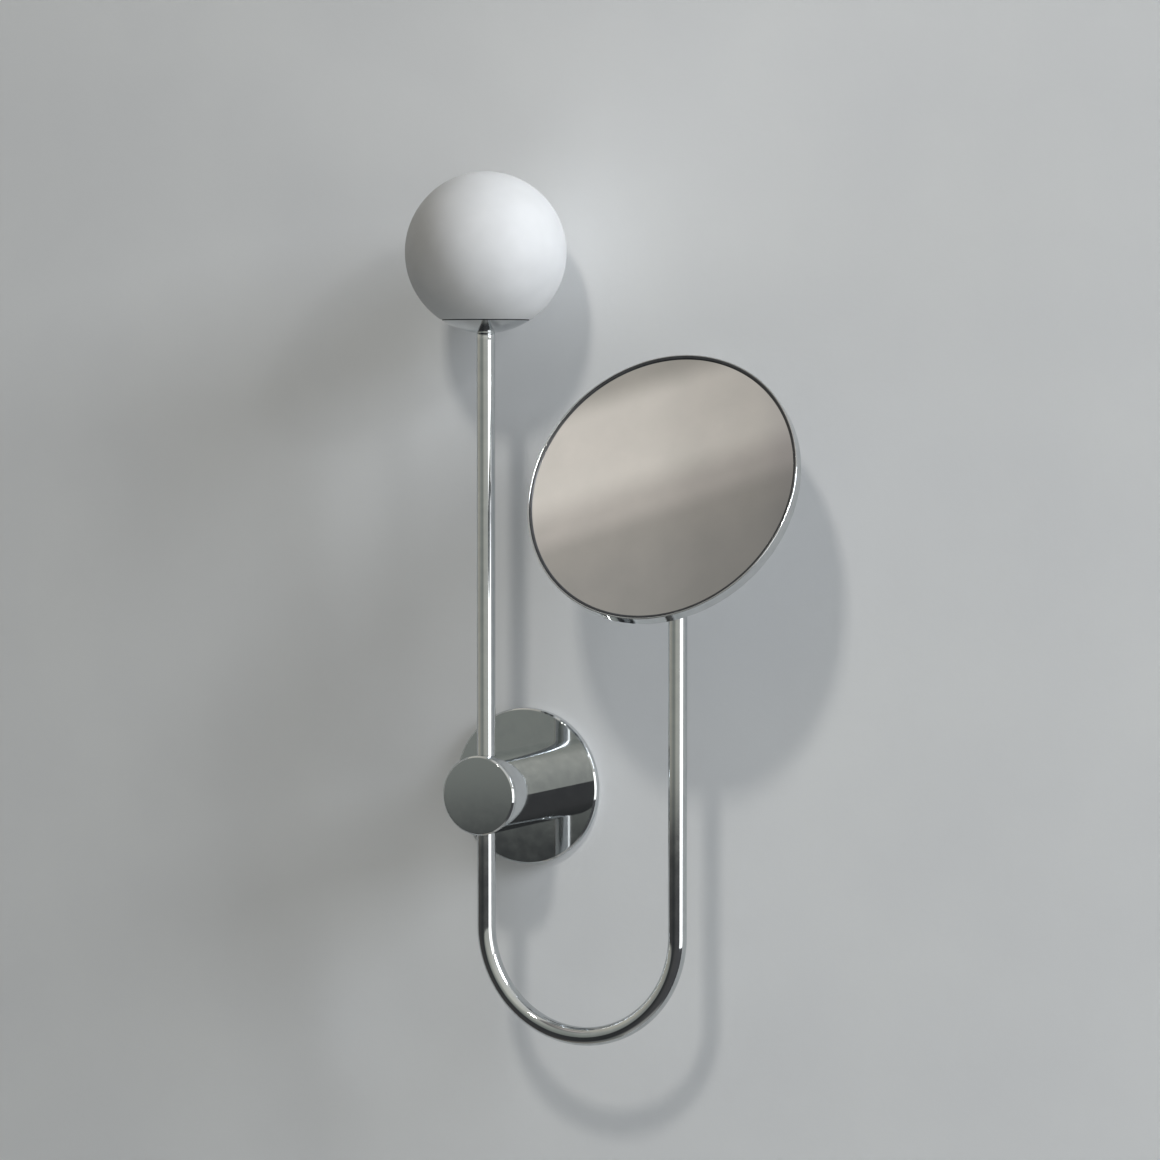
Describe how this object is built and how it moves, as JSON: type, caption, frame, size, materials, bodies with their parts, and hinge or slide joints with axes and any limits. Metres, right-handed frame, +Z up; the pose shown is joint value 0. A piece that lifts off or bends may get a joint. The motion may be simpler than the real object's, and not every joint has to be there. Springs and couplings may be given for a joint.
{
  "type": "extendable shaving mirror",
  "caption": "Wall-mounted swinging shaving mirror with a globe lamp: a bent chrome tube turns in a round arm and carries an opal globe on one leg and a tilting round mirror on the other.",
  "frame": {"origin": "centre of the wall plate's back, on the wall's surface", "axes": "+Z up along the tube's legs, +X along the wall to the right, +Y into the wall, so the object stands out towards -Y"},
  "size_m": [0.324, 0.1492, 0.6525],
  "materials": {
    "chrome": "polished, plated on brass",
    "rim_plastic": "moulded, dark grey",
    "knuckle_chrome": "polished, plated on cast zinc",
    "zinc_steel": "zinc plated",
    "screw_steel": "stainless",
    "spring_steel": "spring temper",
    "brass": "turned",
    "bearing_plastic": "moulded acetal",
    "seal_rubber": "moulded",
    "terminal_plastic": "moulded",
    "lead_sheath": "silicone sheath",
    "opal_glass": "blown opal glass, satin etched",
    "holder_ceramic": "steatite",
    "bulb_glass": "frosted",
    "led": "phosphor coated",
    "foam": "closed-cell foam",
    "silvered_glass": "silvered float glass"
  },
  "bodies": {
    "wall_mount": {"wall_bracket": "zinc_steel", "wall_gasket": "seal_rubber", "wall_plate": "chrome", "cable_grommet": "seal_rubber", "earth_screw": "screw_steel", "terminal_block": "terminal_plastic", "terminal_screws": "screw_steel", "terminal_fixing_screw": "screw_steel", "supply_lead": "lead_sheath", "arm_body": "chrome", "arm_grub_screws": "screw_steel", "arm_end_cap": "chrome", "bearing_block": "brass", "cap_screws": "screw_steel", "upper_bush": "bearing_plastic", "lower_bush": "bearing_plastic", "friction_rings": "seal_rubber", "thrust_washer": "bearing_plastic"},
    "swing_tube": {"u_tube": "chrome", "stop_ring": "brass", "stop_screw": "screw_steel", "lamp_lead": "lead_sheath", "lamp_dish": "chrome", "clip_screws": "screw_steel", "globe_clips": "spring_steel", "globe_gasket": "seal_rubber", "globe_glass": "opal_glass", "lamp_nipple": "brass", "nipple_nut": "screw_steel", "lamp_holder": "holder_ceramic", "bulb_base": "holder_ceramic", "bulb_glass": "bulb_glass", "bulb_led_post": "led", "swivel_insert": "brass", "swivel_stop_pin": "screw_steel", "swivel_washer": "bearing_plastic"},
    "mirror_swivel": {"swivel_fork": "knuckle_chrome", "stem_spring": "spring_steel", "stem_nut": "screw_steel", "hinge_bolt": "knuckle_chrome", "hinge_spring": "spring_steel", "hinge_nut": "knuckle_chrome", "tilt_washers": "bearing_plastic"},
    "mirror_head": {"mirror_knuckle": "knuckle_chrome", "knuckle_screws": "screw_steel", "mirror_pan": "chrome", "stiffener_plate": "zinc_steel", "glass_pad": "foam", "mirror_glass": "silvered_glass", "mirror_bezel": "rim_plastic"}
  },
  "joints": [
    {"name": "tube_swing", "type": "hinge", "parent": "wall_mount", "child": "swing_tube", "pos_m": [0, -0.072, 0], "axis": [0, 0, -1], "range_deg": [0, 160]},
    {"name": "mirror_turn", "type": "hinge", "parent": "swing_tube", "child": "mirror_swivel", "pos_m": [0.158, -0.072, 0.2205], "axis": [0, 0, 1], "range_deg": [-45, 45]},
    {"name": "mirror_tilt", "type": "hinge", "parent": "mirror_swivel", "child": "mirror_head", "pos_m": [0.158, -0.072, 0.2205], "axis": [-1, 0, 0], "range_deg": [-34, 19]}
  ]
}
